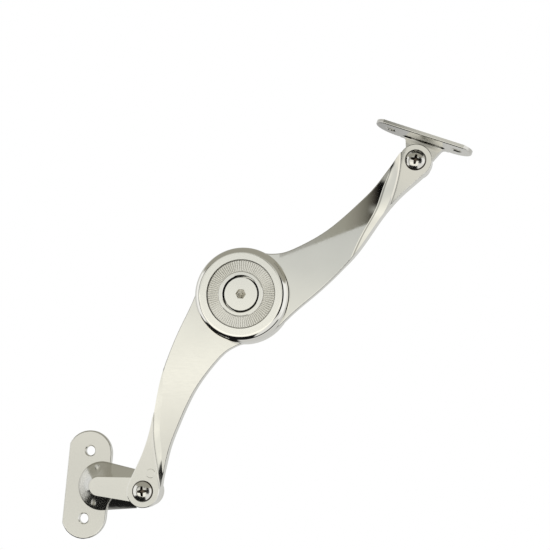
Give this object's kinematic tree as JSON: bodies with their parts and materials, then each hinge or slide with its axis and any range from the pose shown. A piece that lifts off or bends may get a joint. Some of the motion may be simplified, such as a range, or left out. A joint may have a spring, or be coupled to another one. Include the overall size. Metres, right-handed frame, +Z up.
{
  "type": "lid stay",
  "caption": "Friction lid stay: two die-cast arms on an adjustable friction hub, with a side-panel bracket at one end and a flap bracket at the other.",
  "frame": {"origin": "middle of the cabinet bracket's mounting face, halfway between its two screw holes", "axes": "Y = 0 is the cabinet's side panel and the stay stands in front of it towards -Y, with every pivot along Y; +X points from the bracket's hole line towards its pivot; +Z is up along the hole line"},
  "size_m": [0.1817, 0.0284, 0.2049],
  "materials": {
    "satin_casting": "satin nickel-plated zinc die-casting",
    "polished_casting": "polished nickel-plated zinc die-casting",
    "bracket_casting": "satin nickel-plated zinc die-casting",
    "flap_casting": "satin nickel-plated zinc die-casting",
    "knurled_nickel": "fine radial knurl, satin nickel",
    "bright_screw": "bright nickel-plated steel",
    "spring_steel": "plain zinc-plated steel",
    "friction_lining": "matt fibre friction lining"
  },
  "bodies": {
    "cabinet": {"cabinet_bracket": "bracket_casting", "cabinet_pivot_screw": "bright_screw", "cabinet_pivot_bush": "spring_steel", "cabinet_spring_washer": "spring_steel", "cabinet_spacer": "spring_steel", "cabinet_pivot_nut": "spring_steel"},
    "lower": {"lower_arm": "satin_casting", "hub_bush": "spring_steel", "rear_friction_disc": "friction_lining", "hub_nut": "spring_steel", "rear_cover": "satin_casting"},
    "upper": {"upper_arm": "polished_casting", "hub_cap": "polished_casting", "knurled_ring": "knurled_nickel", "front_friction_disc": "friction_lining", "hub_thrust_washer": "spring_steel", "hub_disc_springs": "spring_steel"},
    "adjuster": {"tension_screw": "bright_screw"},
    "flap": {"flap_bracket": "flap_casting", "flap_pivot_screw": "bright_screw", "flap_pivot_bush": "spring_steel", "flap_spring_washer": "spring_steel", "flap_spacer": "spring_steel", "flap_pivot_nut": "spring_steel"}
  },
  "joints": [
    {"name": "cabinet_hinge", "type": "hinge", "parent": "cabinet", "child": "lower", "pos_m": [0.032, -0.017, 0], "axis": [0, -1, 0], "range_deg": [-35, 110]},
    {"name": "hub_hinge", "type": "hinge", "parent": "lower", "child": "upper", "pos_m": [0.07098, -0.019, 0.09317], "axis": [0, -1, 0], "range_deg": [-126, 15]},
    {"name": "screw_turn", "type": "hinge", "parent": "lower", "child": "adjuster", "pos_m": [0.07098, -0.028, 0.09317], "axis": [0, -1, 0], "range_deg": [-180, 180]},
    {"name": "flap_hinge", "type": "hinge", "parent": "upper", "child": "flap", "pos_m": [0.14556, -0.017, 0.16128], "axis": [0, -1, 0], "range_deg": [-105, 60]}
  ]
}
